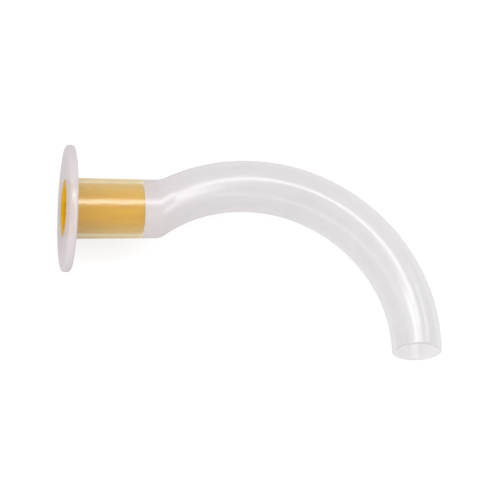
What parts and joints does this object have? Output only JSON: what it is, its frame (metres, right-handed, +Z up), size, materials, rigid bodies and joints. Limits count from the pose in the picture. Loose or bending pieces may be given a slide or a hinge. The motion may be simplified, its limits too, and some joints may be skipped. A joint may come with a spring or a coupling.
{
  "type": "oropharyngeal airway",
  "caption": "Guedel-pattern oral airway, adult size 3: a clear curved tube with an oval flange and an amber bite block, lying on its side.",
  "frame": {"origin": "on the table under the middle of the part's box, the part lying on its side as it comes to rest", "axes": "+X runs from the flange along the bite portion, +Y points to the convex side of the curve, +Z is up"},
  "size_m": [0.0866, 0.0496, 0.0245],
  "materials": {
    "milky_polyethylene": "translucent, soft gloss",
    "amber_insert": "translucent, soft gloss"
  },
  "bodies": {
    "root": {"airway_body": "milky_polyethylene", "bite_block": "amber_insert"}
  },
  "joints": []
}
